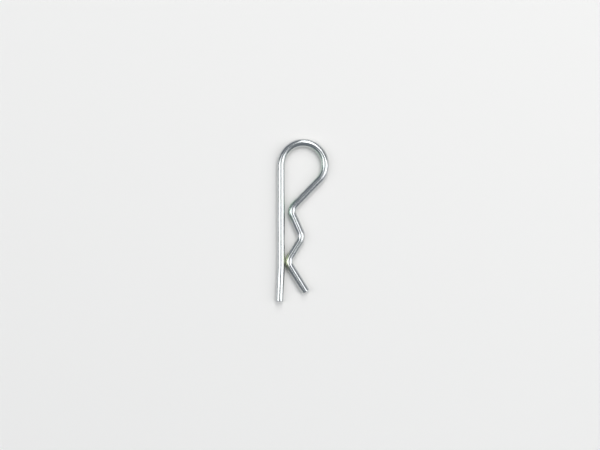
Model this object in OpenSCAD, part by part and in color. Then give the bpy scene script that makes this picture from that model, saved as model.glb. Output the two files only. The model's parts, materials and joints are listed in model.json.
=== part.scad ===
// Hitch clip pin, also called an R clip: one length of round spring wire, bent in one plane.
// The straight leg goes through a cross hole in a shaft, and the waved leg snaps over the shaft.
//
// The clip lies flat, with the straight leg along Y and the round eye at +Y. The origin is where
// the axis of the locked shaft meets the surface that the clip lies on. Every bend is an arc of a
// circle, and every straight is the line that touches the two bends beside it, so the wire's
// centreline stays smooth when a size is changed. All sizes are millimetres and degrees.

/* [Wire] */
// Diameter of the spring wire
wire_d = 3.175; // [2.6:0.005:3.8]
// Bevel left on the edge of each sheared end
end_bevel = 0.2; // [0.05:0.05:0.6]
// How much thinner the wire gets where it is drawn round a bend
bend_draw = 0.01; // [0.005:0.005:0.05]

/* [Shaft seat] */
// Diameter of the shaft that the clip locks
shaft_d = 12.7; // [11:0.1:15]
// Gap between the shaft and the inside of the crest
seat_play = 0.2; // [0:0.05:0.8]
// Inside radius of the crest's bend, which passes over the shaft
crest_inside_r = 2.5; // [1.5:0.1:3.5]

/* [Eye] */
// Inside diameter of the round eye
eye_bore = 14.6; // [11:0.1:18]
// Distance from the neck up to the eye's centre
eye_rise = 18.8; // [17:0.1:26]

/* [Neck] */
// Gap between the neck and the straight leg
neck_gap = 1.3; // [0.3:0.05:2.5]
// Inside radius of the neck's bend, between the eye and the crest
neck_inside_r = 2.1; // [1.5:0.1:3]
// Distance from the shaft's axis up to the neck
neck_rise = 10; // [9:0.1:12]

/* [Nip] */
// Gap between the nip and the straight leg, almost closed until a shaft spreads the legs
nip_gap = 0.1; // [0.05:0.05:1.5]
// Inside radius of the nip's bend, between the crest and the tail
nip_inside_r = 2.4; // [1.5:0.1:3.2]
// Distance from the shaft's axis down to the nip
nip_drop = 10.2; // [9.2:0.1:12]

/* [Tail] */
// Angle between the flared tail and the straight leg
tail_flare = 31.7; // [20:0.1:45]
// Length of the tail's straight
tail_len = 11.9; // [5:0.1:16]

/* [Straight leg] */
// Distance from the shaft's axis down to where the leg starts to turn aside
turn_drop = 10.9; // [9.5:0.1:16]
// Angle by which the tip of the leg turns away from the tail
tip_turn = 2.5; // [0.5:0.1:6]
// Radius of the slight bend above the tip
tip_bend_r = 70; // [30:1:90]
// Length of the tip's straight, which goes into the cross hole first
tip_len = 12.35; // [6:0.05:20]

/* [Hidden] */
$fn = 96;
wire_r = wire_d / 2;

// Each bend runs on by this length inside the straights beside it, so that all join as one solid
lap = 0.05;

// Angle of travel along the straight leg, from its tip towards the eye
UP = 90;

// Each bend is [centre, radius, side], with the radius at the wire's centreline. The side is
// LEFT or RIGHT, the hand to which the wire turns on the way from the tip to the tail.
LEFT = 1;
RIGHT = -1;
tip_bend = [[-tip_bend_r, -turn_drop], tip_bend_r, LEFT];
eye_bend = let (r = eye_bore / 2 + wire_r) [[r, neck_rise + eye_rise], r, RIGHT];
neck_bend = let (r = neck_inside_r + wire_r) [[wire_d + neck_gap + r, neck_rise], r, LEFT];
crest_bend = let (r = crest_inside_r + wire_r)
    [[shaft_d / 2 + seat_play + wire_r - r, 0], r, RIGHT];
nip_bend = let (r = nip_inside_r + wire_r) [[wire_d + nip_gap + r, -nip_drop], r, LEFT];

// Angles of travel along each straight
tip_angle = UP - tip_turn;
shoulder_angle = between(eye_bend, neck_bend);
upper_ramp_angle = between(neck_bend, crest_bend);
lower_ramp_angle = between(crest_bend, nip_bend);
tail_angle = tail_flare - UP;

// A step of one millimetre in the direction of travel
function along(angle) = [cos(angle), sin(angle)];

// The point on a bend where the wire travels at this angle
function leave(bend, angle) =
    bend[0] + bend[2] * bend[1] * along(angle - 90);

// The angle of travel along the line that touches two bends
function between(a, b) =
    let (
        gap = b[0] - a[0],
        offset = b[2] * b[1] - a[2] * a[1]
    )
    atan2(gap.y, gap.x) - asin(offset / norm(gap));

// Places something that stands along Z at a point, so that it points the way of travel
module aim(point, angle)
    translate(point)
        rotate([0, 90, angle])
            children();

// A straight of wire from one point to another
module straight(from, to)
    aim(from, atan2(to.y - from.y, to.x - from.x))
        cylinder(d = wire_d, h = norm(to - from));

// The stretch of a bend between two angles of travel
module turn(bend, angle_in, angle_out)
{
    lap_angle = lap / bend[1] * 180 / PI;
    translate(bend[0])
        rotate(min(angle_in, angle_out) - bend[2] * 90 - lap_angle)
            rotate_extrude(angle = abs(angle_out - angle_in) + 2 * lap_angle)
                translate([bend[1], 0])
                    circle(d = wire_d - bend_draw);
}

// A straight that ends in a sheared face with a bevelled edge
module cut_end(from, angle, length)
{
    plain = length - end_bevel;
    aim(from, angle)
    {
        cylinder(d = wire_d, h = plain);
        translate([0, 0, plain])
            cylinder(d1 = wire_d, d2 = wire_d - 2 * end_bevel, h = end_bevel);
    }
}

// The whole clip, in the order in which the wire runs
module r_clip_wire()
{
    color([0.76, 0.78, 0.80])
        translate([0, 0, wire_r])
            union()
            {
                cut_end(leave(tip_bend, tip_angle), tip_angle - 180, tip_len);
                turn(tip_bend, tip_angle, UP);
                straight(leave(tip_bend, UP), leave(eye_bend, UP));
                turn(eye_bend, UP, shoulder_angle);
                straight(leave(eye_bend, shoulder_angle), leave(neck_bend, shoulder_angle));
                turn(neck_bend, shoulder_angle, upper_ramp_angle);
                straight(leave(neck_bend, upper_ramp_angle), leave(crest_bend, upper_ramp_angle));
                turn(crest_bend, upper_ramp_angle, lower_ramp_angle);
                straight(leave(crest_bend, lower_ramp_angle), leave(nip_bend, lower_ramp_angle));
                turn(nip_bend, lower_ramp_angle, tail_angle);
                cut_end(leave(nip_bend, tail_angle), tail_angle, tail_len);
            }
}

r_clip_wire();
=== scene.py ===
"""Bends a hitch clip pin from plated spring wire and sets it on a small, softly lit table."""

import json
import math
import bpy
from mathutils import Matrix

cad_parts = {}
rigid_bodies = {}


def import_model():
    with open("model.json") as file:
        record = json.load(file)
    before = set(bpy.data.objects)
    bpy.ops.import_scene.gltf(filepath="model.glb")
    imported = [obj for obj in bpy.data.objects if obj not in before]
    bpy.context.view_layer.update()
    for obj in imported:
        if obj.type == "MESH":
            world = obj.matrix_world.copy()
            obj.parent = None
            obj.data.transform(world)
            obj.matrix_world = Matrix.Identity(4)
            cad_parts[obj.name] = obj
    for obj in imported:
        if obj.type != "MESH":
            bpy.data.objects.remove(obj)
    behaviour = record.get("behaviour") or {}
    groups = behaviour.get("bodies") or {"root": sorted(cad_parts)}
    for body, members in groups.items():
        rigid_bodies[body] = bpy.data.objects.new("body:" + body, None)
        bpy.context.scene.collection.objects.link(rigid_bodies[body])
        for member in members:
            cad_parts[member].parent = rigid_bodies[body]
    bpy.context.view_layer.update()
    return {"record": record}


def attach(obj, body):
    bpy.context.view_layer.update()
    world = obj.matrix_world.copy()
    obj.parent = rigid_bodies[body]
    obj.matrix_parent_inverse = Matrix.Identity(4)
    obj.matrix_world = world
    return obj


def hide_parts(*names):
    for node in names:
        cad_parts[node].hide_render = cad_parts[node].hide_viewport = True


bl_info = {
    "name": "Hitch Clip Pin",
    "version": (1, 0, 0),
    "blender": (4, 5, 0),
    "location": "View3D > Sidebar > Hitch Clip",
    "description": "Bends a hitch clip pin from plated spring wire and lights it from above",
    "category": "Add Mesh",
}

from collections import namedtuple

import bpy
from bpy.props import FloatProperty, FloatVectorProperty, IntProperty, PointerProperty
from mathutils import Vector

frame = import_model()

MM = 0.001
CAD_NODE = "r_clip_wire"
BODY = "root"
MOUNTS = {mount["name"]: mount for mount in frame["record"]["mounts"]}
EYE_CENTRE = Vector(MOUNTS["eye"]["pos_m"])

# A bend turns the wire about its centre. The side is LEFT or RIGHT, the hand to which the wire
# turns on the way from the tip to the tail.
Bend = namedtuple("Bend", "name centre radius side")
Run = namedtuple("Run", "start end")
Turn = namedtuple("Turn", "bend angle_in angle_out")
# A patch of tint lies round a place in a bend, which is a share of the way through it.
# The tint is a thicker film and also a painted reflection of the light between the wire and the
# leg.
Patch = namedtuple("Patch", "bend share reach film strength")
LEFT = 1
RIGHT = -1
UP = math.radians(90)

# More than the wire's radius, and less than the distance between its two ends
RING_REACH = 3 * MM
# The rings that draw an end's rolled edge and its face, and how far the face is torn out of flat
ROLL_RINGS = 4
FACE_RINGS = 6
TEAR = 0.01 * MM
# Faces that meet at less than this angle are shaded as one smooth surface
SMOOTH_ANGLE = math.radians(40)
# The attribute that holds where each point lies on the wire before it is bent
STRAIGHTENED = "straightened"

# Across the wire, a patch of tint fades in from the middle to this far out. Along the wire it is
# at full strength over this share of its reach, and fades out from there.
PATCH_DEPTH = 1.1 * MM
PATCH_CORE = 0.3
# How far the plating's roughness strays below and above its setting
SMOOTHER = 0.03
ROUGHER = 0.05
BUMP_STRENGTH = 0.08

# The camera sees nothing that is nearer to it than this
NEAREST_SEEN = 10 * MM


class ClipShape(bpy.types.PropertyGroup):
    """The sizes of the bent wire"""

    wire_diameter: FloatProperty(
        name="Wire diameter", description="Diameter of the spring wire",
        default=2 * MM * MOUNTS["leg_tip"]["dims"]["r_mm"], unit="LENGTH",
    )
    shaft_diameter: FloatProperty(
        name="Shaft diameter", description="Diameter of the shaft that the clip locks",
        default=12.7 * MM, unit="LENGTH",
    )
    seat_play: FloatProperty(
        name="Seat play", description="Gap between the shaft and the inside of the crest",
        default=0.2 * MM, unit="LENGTH",
    )
    crest_inside_radius: FloatProperty(
        name="Crest radius", description="Inside radius of the bend that passes over the shaft",
        default=2.5 * MM, unit="LENGTH",
    )
    neck_gap: FloatProperty(
        name="Neck gap", description="Gap between the neck and the straight leg",
        default=1.3 * MM, unit="LENGTH",
    )
    neck_inside_radius: FloatProperty(
        name="Neck radius", description="Inside radius of the bend between the eye and the crest",
        default=2.1 * MM, unit="LENGTH",
    )
    neck_rise: FloatProperty(
        name="Neck rise", description="Distance from the shaft's axis up to the neck",
        default=10 * MM, unit="LENGTH",
    )
    nip_gap: FloatProperty(
        name="Nip gap", description="Gap between the nip and the straight leg",
        default=0.1 * MM, unit="LENGTH",
    )
    nip_inside_radius: FloatProperty(
        name="Nip radius", description="Inside radius of the bend between the crest and the tail",
        default=2.4 * MM, unit="LENGTH",
    )
    nip_drop: FloatProperty(
        name="Nip drop", description="Distance from the shaft's axis down to the nip",
        default=10.2 * MM, unit="LENGTH",
    )
    tail_flare: FloatProperty(
        name="Tail flare", description="Angle between the flared tail and the straight leg",
        default=math.radians(31.7), subtype="ANGLE",
    )
    tail_length: FloatProperty(
        name="Tail length", description="Length of the tail's straight",
        default=11.9 * MM, unit="LENGTH",
    )
    turn_drop: FloatProperty(
        name="Turn drop", description="Distance from the shaft's axis down to where the leg turns",
        default=10.9 * MM, unit="LENGTH",
    )
    tip_turn: FloatProperty(
        name="Tip turn", description="Angle by which the leg's tip turns away from the tail",
        default=math.radians(2.5), subtype="ANGLE",
    )
    tip_bend_radius: FloatProperty(
        name="Tip bend radius", description="Radius of the slight bend above the tip",
        default=70 * MM, unit="LENGTH",
    )
    tip_length: FloatProperty(
        name="Tip length", description="Length of the tip's straight",
        default=12.35 * MM, unit="LENGTH",
    )
    end_round: FloatProperty(
        name="End rounding", description="How far the shear has rolled over each end's edge",
        default=0.2 * MM, unit="LENGTH",
    )
    sides: IntProperty(
        name="Sides", description="Number of faces round the wire", default=72, min=12,
    )
    step: FloatProperty(
        name="Step", description="Longest face along the wire", default=0.5 * MM, unit="LENGTH",
    )


class ZincFinish(bpy.types.PropertyGroup):
    """The look of the plating"""

    zinc: FloatVectorProperty(
        name="Zinc", description="Colour of the bright plating", subtype="COLOR",
        size=3, default=(0.63, 0.645, 0.66), min=0, max=1,
    )
    film: FloatVectorProperty(
        name="Film", description="Colour of the plating where its clear film is thicker",
        subtype="COLOR", size=3, default=(0.615, 0.64, 0.62), min=0, max=1,
    )
    # Part film, part painted reflection: this green paints the light that bounces between the leg
    # and the inside of the eye and the neck.
    green_film_and_reflection: FloatVectorProperty(
        name="Green film", description="Colour of the film on the inside of the eye and the neck",
        subtype="COLOR", size=3, default=(0.53, 0.65, 0.57), min=0, max=1,
    )
    # Part film, part painted reflection: this yellow paints the light that bounces between the nip
    # and the leg.
    yellow_film_and_reflection: FloatVectorProperty(
        name="Yellow film", description="Colour of the film where the nip faces the leg",
        subtype="COLOR", size=3, default=(0.61, 0.67, 0.45), min=0, max=1,
    )
    roughness: FloatProperty(
        name="Roughness", description="Roughness of the plating", default=0.21, min=0, max=1,
    )


class TableStudio(bpy.types.PropertyGroup):
    """The table, the lamps and the camera"""

    table_width: FloatProperty(
        name="Table width", description="Width of the square table", default=4, unit="LENGTH",
    )
    paper: FloatVectorProperty(
        name="Paper", description="Colour of the sheet that the clip lies on", subtype="COLOR",
        size=3, default=(0.96, 0.945, 0.915), min=0, max=1,
    )
    paper_roughness: FloatProperty(
        name="Paper roughness", description="Roughness of the sheet", default=0.9, min=0, max=1,
    )
    paper_sheen: FloatProperty(
        name="Paper sheen", description="How much the sheet mirrors", default=0.2, min=0, max=1,
    )
    camera_height: FloatProperty(
        name="Camera height", description="Height of the camera above the table",
        default=0.5, unit="LENGTH",
    )
    view_width: FloatProperty(
        name="View width", description="Width of the table that the camera sees",
        default=242.8 * MM, unit="LENGTH",
    )
    view_x: FloatProperty(
        name="View X", description="Where the camera looks at the table, across",
        default=7.63 * MM, unit="LENGTH",
    )
    view_y: FloatProperty(
        name="View Y", description="Where the camera looks at the table, along the clip",
        default=4.52 * MM, unit="LENGTH",
    )
    lamp_height: FloatProperty(
        name="Lamp height", description="Height of the softboxes above the table",
        default=1.5, unit="LENGTH",
    )
    fill: FloatProperty(
        name="Fill", description="Brightness of the room round the softboxes", default=0.22, min=0,
    )
    room: FloatVectorProperty(
        name="Room", description="Colour of the room round the softboxes", subtype="COLOR",
        size=3, default=(0.9, 0.98, 1.1), min=0,
    )


def along(angle):
    """A step of one in the direction of travel."""
    return Vector((math.cos(angle), math.sin(angle), 0))


def leave(bend, angle):
    """The point on a bend where the wire travels at this angle."""
    return bend.centre + bend.side * bend.radius * along(angle - UP)


def between(a, b):
    """The angle of travel along the line that touches two bends."""
    gap = b.centre - a.centre
    offset = b.side * b.radius - a.side * a.radius
    return math.atan2(gap.y, gap.x) - math.asin(offset / gap.length)


def wire_path(shape):
    """The centreline of the wire as runs and turns, in order from the tip to the tail."""
    half = shape.wire_diameter / 2
    level = EYE_CENTRE.z

    def centre(x, y):
        return Vector((x, y, level))

    tip = Bend(
        "tip", centre(-shape.tip_bend_radius, -shape.turn_drop), shape.tip_bend_radius, LEFT
    )
    # The leg runs up the line x = 0 and into the eye, so the eye's radius is its centre's x.
    eye = Bend("eye", EYE_CENTRE, EYE_CENTRE.x, RIGHT)
    neck_r = shape.neck_inside_radius + half
    neck_x = shape.wire_diameter + shape.neck_gap + neck_r
    neck = Bend("neck", centre(neck_x, shape.neck_rise), neck_r, LEFT)
    crest_r = shape.crest_inside_radius + half
    crest_x = shape.shaft_diameter / 2 + shape.seat_play + half - crest_r
    crest = Bend("crest", centre(crest_x, 0), crest_r, RIGHT)
    nip_r = shape.nip_inside_radius + half
    nip_x = shape.wire_diameter + shape.nip_gap + nip_r
    nip = Bend("nip", centre(nip_x, -shape.nip_drop), nip_r, LEFT)

    tip_angle = UP - shape.tip_turn
    shoulder = between(eye, neck)
    upper_ramp = between(neck, crest)
    lower_ramp = between(crest, nip)
    tail = shape.tail_flare - UP
    tip_end = leave(tip, tip_angle) - shape.tip_length * along(tip_angle)
    tail_end = leave(nip, tail) + shape.tail_length * along(tail)
    return [
        Run(tip_end + shape.end_round * along(tip_angle), leave(tip, tip_angle)),
        Turn(tip, tip_angle, UP),
        Run(leave(tip, UP), leave(eye, UP)),
        Turn(eye, UP, shoulder),
        Run(leave(eye, shoulder), leave(neck, shoulder)),
        Turn(neck, shoulder, upper_ramp),
        Run(leave(neck, upper_ramp), leave(crest, upper_ramp)),
        Turn(crest, upper_ramp, lower_ramp),
        Run(leave(crest, lower_ramp), leave(nip, lower_ramp)),
        Turn(nip, lower_ramp, tail),
        Run(leave(nip, tail), tail_end - shape.end_round * along(tail)),
    ]


def length_of(part):
    """The length of wire in one run or turn."""
    if isinstance(part, Run):
        return (part.end - part.start).length
    return abs(part.angle_out - part.angle_in) * part.bend.radius


def length_to(path, name, share):
    """The length of wire from the tip to a place in a bend, a share of the way through it."""
    travelled = 0
    for part in path:
        if isinstance(part, Turn) and part.bend.name == name:
            return travelled + share * length_of(part)
        travelled += length_of(part)
    raise ValueError(f"the wire has no bend named {name}")


def draw_wire(shape, path):
    """Adds a ring of edges at the tip, and draws it along the path as an open tube."""
    first = path[0]
    travel = (first.end - first.start).normalized()
    bpy.ops.object.select_all(action="DESELECT")
    bpy.ops.mesh.primitive_circle_add(
        vertices=shape.sides,
        radius=shape.wire_diameter / 2,
        location=first.start,
        rotation=travel.to_track_quat("Z", "Y").to_euler(),
    )
    wire = bpy.context.object
    bpy.ops.object.transform_apply(location=True, rotation=True, scale=True)
    bpy.ops.object.mode_set(mode="EDIT")
    bpy.ops.mesh.select_all(action="SELECT")
    for part in path:
        steps = max(1, math.ceil(length_of(part) / shape.step))
        if isinstance(part, Run):
            bpy.ops.mesh.extrude_repeat(steps=steps, offset=(part.end - part.start) / steps)
        else:
            # A positive angle spins clockwise
            bpy.ops.mesh.spin(
                steps=steps,
                angle=part.angle_in - part.angle_out,
                center=part.bend.centre,
                axis=(0, 0, 1),
            )
    return wire


def select_open_ring(wire, middle):
    """Selects the one of the tube's open rings that lies round a point."""
    bpy.ops.mesh.select_all(action="DESELECT")
    bpy.ops.mesh.select_non_manifold()
    bpy.ops.object.mode_set(mode="OBJECT")
    vertices = wire.data.vertices
    for vertex in vertices:
        vertex.select = vertex.select and (vertex.co - middle).length < RING_REACH
    for edge in wire.data.edges:
        edge.select = all(vertices[end].select for end in edge.vertices)
    bpy.ops.object.mode_set(mode="EDIT")


def shear_end(wire, centre, outward, shape, seed):
    """Closes one end of the tube as a shear leaves it: a rolled edge and a torn face."""
    select_open_ring(wire, centre)
    roll = shape.end_round
    radius = shape.wire_diameter / 2
    for ring in range(1, ROLL_RINGS + 1):
        before = UP * (ring - 1) / ROLL_RINGS
        after = UP * ring / ROLL_RINGS
        step = roll * (math.sin(after) - math.sin(before))
        wide = radius - roll * (1 - math.cos(before))
        narrow = radius - roll * (1 - math.cos(after))
        bpy.ops.mesh.extrude_edges_move(TRANSFORM_OT_translate={"value": outward * step})
        centre = centre + outward * step
        bpy.ops.transform.resize(value=[narrow / wide] * 3, center_override=centre)
    bpy.ops.mesh.edge_face_add()
    for _ in range(FACE_RINGS):
        bpy.ops.mesh.inset(thickness=(radius - roll) / (FACE_RINGS + 1))
    bpy.ops.mesh.poke()
    for _ in range(FACE_RINGS):
        bpy.ops.mesh.select_more()
    bpy.ops.transform.vertex_random(offset=TEAR, normal=1.0, seed=seed)


def straightened_place(point, path):
    """Where a point of the bent wire lies when the wire is straight, along Z from its tip."""
    best = None
    travelled = 0
    for part in path:
        length = length_of(part)
        if isinstance(part, Run):
            travel = (part.end - part.start).normalized()
            reach = (point - part.start).dot(travel)
            on_line = part.start + travel * min(max(reach, 0), length)
        else:
            arm = point - part.bend.centre
            middle = (part.angle_in + part.angle_out) / 2
            heading = math.atan2(arm.y, arm.x) + part.bend.side * UP
            turned = math.remainder(heading - middle, 2 * math.pi)
            half = abs(part.angle_out - part.angle_in) / 2
            angle = middle + min(max(turned, -half), half)
            travel = along(angle)
            on_line = leave(part.bend, angle)
            reach = abs(angle - part.angle_in) * part.bend.radius
        distance = (point - on_line).length
        if best is None or distance < best[0]:
            side = travel.cross(Vector((0, 0, 1)))
            offset = point - on_line
            best = (distance, offset.dot(side), offset.z, travelled + reach)
        travelled += length
    return best[1:]


def note_straightened(wire, path):
    """Stores each point's place on the straight wire, for the patterns that follow the wire."""
    places = wire.data.attributes.new(STRAIGHTENED, "FLOAT_VECTOR", "POINT")
    for vertex, place in zip(wire.data.vertices, places.data):
        place.vector = straightened_place(vertex.co, path)


def add_node(tree, kind, **settings):
    """Adds a shader node. A setting is one of its properties or, failing that, of its inputs."""
    node = tree.nodes.new(kind)
    for name, value in settings.items():
        if hasattr(node, name):
            setattr(node, name, value)
        else:
            node.inputs[name.replace("_", " ")].default_value = value
    return node


def film_and_reflection_patch(tree, place, colour, patch, middle):
    """Tints the side of the wire that faces the leg, out to the patch's reach from its middle: a
    thicker film and a painted reflection of the light between the wire and the leg.
    """
    parts = add_node(tree, "ShaderNodeSeparateXYZ")
    tree.links.new(place, parts.inputs["Vector"])
    facing = add_node(
        tree, "ShaderNodeMapRange", interpolation_type="SMOOTHSTEP",
        From_Min=0, From_Max=PATCH_DEPTH, To_Max=patch.strength,
    )
    tree.links.new(parts.outputs["X"], facing.inputs["Value"])
    away = add_node(tree, "ShaderNodeMath", operation="SUBTRACT")
    away.inputs[1].default_value = middle
    tree.links.new(parts.outputs["Z"], away.inputs[0])
    distance = add_node(tree, "ShaderNodeMath", operation="ABSOLUTE")
    tree.links.new(away.outputs["Value"], distance.inputs[0])
    nearness = add_node(
        tree, "ShaderNodeMapRange", interpolation_type="SMOOTHSTEP",
        From_Min=patch.reach, From_Max=PATCH_CORE * patch.reach,
    )
    tree.links.new(distance.outputs["Value"], nearness.inputs["Value"])
    amount = add_node(tree, "ShaderNodeMath", operation="MULTIPLY")
    tree.links.new(facing.outputs["Result"], amount.inputs[0])
    tree.links.new(nearness.outputs["Result"], amount.inputs[1])
    mix = add_node(tree, "ShaderNodeMixRGB", Color2=(*patch.film, 1))
    tree.links.new(amount.outputs["Value"], mix.inputs["Fac"])
    tree.links.new(colour, mix.inputs["Color1"])
    return mix.outputs["Color"]


def wire_noise(tree, place, scale, stretch, detail):
    """Noise that follows the wire, its scale per metre. A stretch below one draws it out."""
    mapping = add_node(tree, "ShaderNodeMapping", Scale=(scale, scale, scale * stretch))
    noise = add_node(tree, "ShaderNodeTexNoise", Scale=1.0, Detail=detail)
    tree.links.new(place, mapping.inputs["Vector"])
    tree.links.new(mapping.outputs["Vector"], noise.inputs["Vector"])
    return noise.outputs["Fac"]


def plating_colour(tree, place, finish, path):
    """Zinc with a film that is thicker in blotches, and tinted green or yellow where three bends
    face the leg, partly film and partly painted reflection of the light between the wires.
    """
    blotches = wire_noise(tree, place, scale=350, stretch=0.4, detail=2)
    tint = add_node(tree, "ShaderNodeValToRGB")
    thin, thick = tint.color_ramp.elements
    thin.position = 0.35
    thin.color = (*finish.zinc, 1)
    thick.position = 0.75
    thick.color = (*finish.film, 1)
    tree.links.new(blotches, tint.inputs["Fac"])
    colour = tint.outputs["Color"]
    # Each patch is a thicker film and a painted reflection of the light between the wire and the
    # leg.
    for patch in (
        Patch("eye", share=0.78, reach=14 * MM, film=finish.green_film_and_reflection, strength=0.6),
        Patch("neck", share=0.5, reach=6 * MM, film=finish.green_film_and_reflection, strength=1),
        Patch("nip", share=0.5, reach=4 * MM, film=finish.yellow_film_and_reflection, strength=1),
    ):
        middle = length_to(path, patch.bend, patch.share)
        colour = film_and_reflection_patch(tree, place, colour, patch, middle)
    return colour


def zinc_material(finish, path):
    """Bright zinc plating over drawn wire."""
    material = bpy.data.materials.new("zinc_plating")
    material.use_nodes = True
    tree = material.node_tree
    shader = tree.nodes["Principled BSDF"]
    shader.inputs["Metallic"].default_value = 1.0
    place = add_node(tree, "ShaderNodeAttribute", attribute_name=STRAIGHTENED).outputs["Vector"]
    tree.links.new(plating_colour(tree, place, finish, path), shader.inputs["Base Color"])

    drawn_lines = wire_noise(tree, place, scale=9000, stretch=0.03, detail=3)
    dullness = add_node(
        tree, "ShaderNodeMapRange", From_Min=0.3, From_Max=0.7,
        To_Min=finish.roughness - SMOOTHER, To_Max=finish.roughness + ROUGHER,
    )
    tree.links.new(drawn_lines, dullness.inputs["Value"])
    tree.links.new(dullness.outputs["Result"], shader.inputs["Roughness"])

    peel = wire_noise(tree, place, scale=2200, stretch=0.7, detail=2)
    lines_bump = add_node(tree, "ShaderNodeBump", Strength=BUMP_STRENGTH, Distance=0.004 * MM)
    peel_bump = add_node(tree, "ShaderNodeBump", Strength=BUMP_STRENGTH, Distance=0.01 * MM)
    tree.links.new(drawn_lines, lines_bump.inputs["Height"])
    tree.links.new(peel, peel_bump.inputs["Height"])
    tree.links.new(lines_bump.outputs["Normal"], peel_bump.inputs["Normal"])
    tree.links.new(peel_bump.outputs["Normal"], shader.inputs["Normal"])
    return material


class CLIP_OT_bend_wire(bpy.types.Operator):
    """Bend the clip from round wire, shear its ends and plate it"""

    bl_idname = "clip.bend_wire"
    bl_label = "Bend Wire"

    def execute(self, context):
        shape = context.scene.clip_shape
        path = wire_path(shape)
        wire = draw_wire(shape, path)
        wire.name = wire.data.name = "plated_wire"
        first = path[0]
        last = path[-1]
        shear_end(wire, first.start, (first.start - first.end).normalized(), shape, seed=1)
        shear_end(wire, last.end, (last.end - last.start).normalized(), shape, seed=2)
        bpy.ops.mesh.select_all(action="SELECT")
        bpy.ops.mesh.normals_make_consistent(inside=False)
        bpy.ops.object.mode_set(mode="OBJECT")
        bpy.ops.object.shade_smooth_by_angle(angle=SMOOTH_ANGLE)
        note_straightened(wire, path)
        wire.data.materials.append(zinc_material(context.scene.zinc_finish, path))
        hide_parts(CAD_NODE)
        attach(wire, BODY)
        return {"FINISHED"}


def add_softbox(name, studio, middle, size, brightness):
    """Hangs a softbox that faces straight down. Middle and size are in lamp heights."""
    height = studio.lamp_height
    width = size[0] * height
    depth = size[1] * height
    lamp = bpy.data.lights.new(name, "AREA")
    lamp.shape = "RECTANGLE"
    lamp.size = width
    lamp.size_y = depth
    # Energy in step with the area keeps a softbox as bright at any size
    lamp.energy = brightness * math.pi * width * depth
    softbox = bpy.data.objects.new(name, lamp)
    softbox.location = (
        studio.view_x + middle[0] * height, studio.view_y + middle[1] * height, height
    )
    softbox.visible_camera = False
    bpy.context.scene.collection.objects.link(softbox)


class CLIP_OT_stage(bpy.types.Operator):
    """Add the pale table, the softboxes, the room's fill light and the camera"""

    bl_idname = "clip.stage"
    bl_label = "Stage"

    def execute(self, context):
        studio = context.scene.table_studio
        bpy.ops.object.select_all(action="DESELECT")
        bpy.ops.mesh.primitive_plane_add(
            size=studio.table_width, location=(studio.view_x, studio.view_y, 0)
        )
        table = context.object
        table.name = "table"
        paper = bpy.data.materials.new("pale_paper")
        paper.use_nodes = True
        shader = paper.node_tree.nodes["Principled BSDF"]
        shader.inputs["Base Color"].default_value = (*studio.paper, 1)
        shader.inputs["Roughness"].default_value = studio.paper_roughness
        shader.inputs["Specular IOR Level"].default_value = studio.paper_sheen
        table.data.materials.append(paper)

        add_softbox(
            "right_softbox", studio, middle=(1.85, -0.13), size=(2.1, 0.95), brightness=2.2
        )
        add_softbox("back_softbox", studio, middle=(0.25, 1.1), size=(0.6, 1.6), brightness=3.8)
        add_softbox(
            "left_softbox", studio, middle=(-1.4, -0.02), size=(2.1, 0.55), brightness=2.2
        )
        add_softbox("key_softbox", studio, middle=(0.5, 0.01), size=(0.46, 0.5), brightness=2.35)

        world = bpy.data.worlds.new("room")
        context.scene.world = world
        world.use_nodes = True
        background = world.node_tree.nodes["Background"]
        background.inputs["Color"].default_value = (*studio.room, 1)
        background.inputs["Strength"].default_value = studio.fill

        camera = bpy.data.objects.new("camera", bpy.data.cameras.new("camera"))
        camera.location = (studio.view_x, studio.view_y, studio.camera_height)
        camera.data.lens = camera.data.sensor_width * studio.camera_height / studio.view_width
        camera.data.clip_start = NEAREST_SEEN
        context.scene.collection.objects.link(camera)
        context.scene.camera = camera
        context.scene.view_settings.view_transform = "Standard"
        return {"FINISHED"}


class CLIP_PT_panel(bpy.types.Panel):
    """The clip's operators and settings"""

    bl_label = "Hitch Clip"
    bl_idname = "CLIP_PT_panel"
    bl_space_type = "VIEW_3D"
    bl_region_type = "UI"
    bl_category = "Hitch Clip"

    def draw(self, context):
        scene = context.scene
        for operator in OPERATORS:
            self.layout.operator(operator.bl_idname)
        for name in SETTINGS:
            group = getattr(scene, name)
            box = self.layout.box()
            box.label(text=group.bl_rna.description)
            for key in group.bl_rna.properties.keys():
                if key not in {"rna_type", "name"}:
                    box.prop(group, key)


SETTINGS = {"clip_shape": ClipShape, "zinc_finish": ZincFinish, "table_studio": TableStudio}
OPERATORS = (CLIP_OT_bend_wire, CLIP_OT_stage)
CLASSES = (*SETTINGS.values(), *OPERATORS, CLIP_PT_panel)


def register():
    for cls in CLASSES:
        bpy.utils.register_class(cls)
    for name, group in SETTINGS.items():
        setattr(bpy.types.Scene, name, PointerProperty(type=group))


def unregister():
    for name in SETTINGS:
        delattr(bpy.types.Scene, name)
    for cls in reversed(CLASSES):
        bpy.utils.unregister_class(cls)


def main():
    register()
    bpy.ops.clip.bend_wire()
    bpy.ops.clip.stage()


if __name__ == "__main__":
    main()
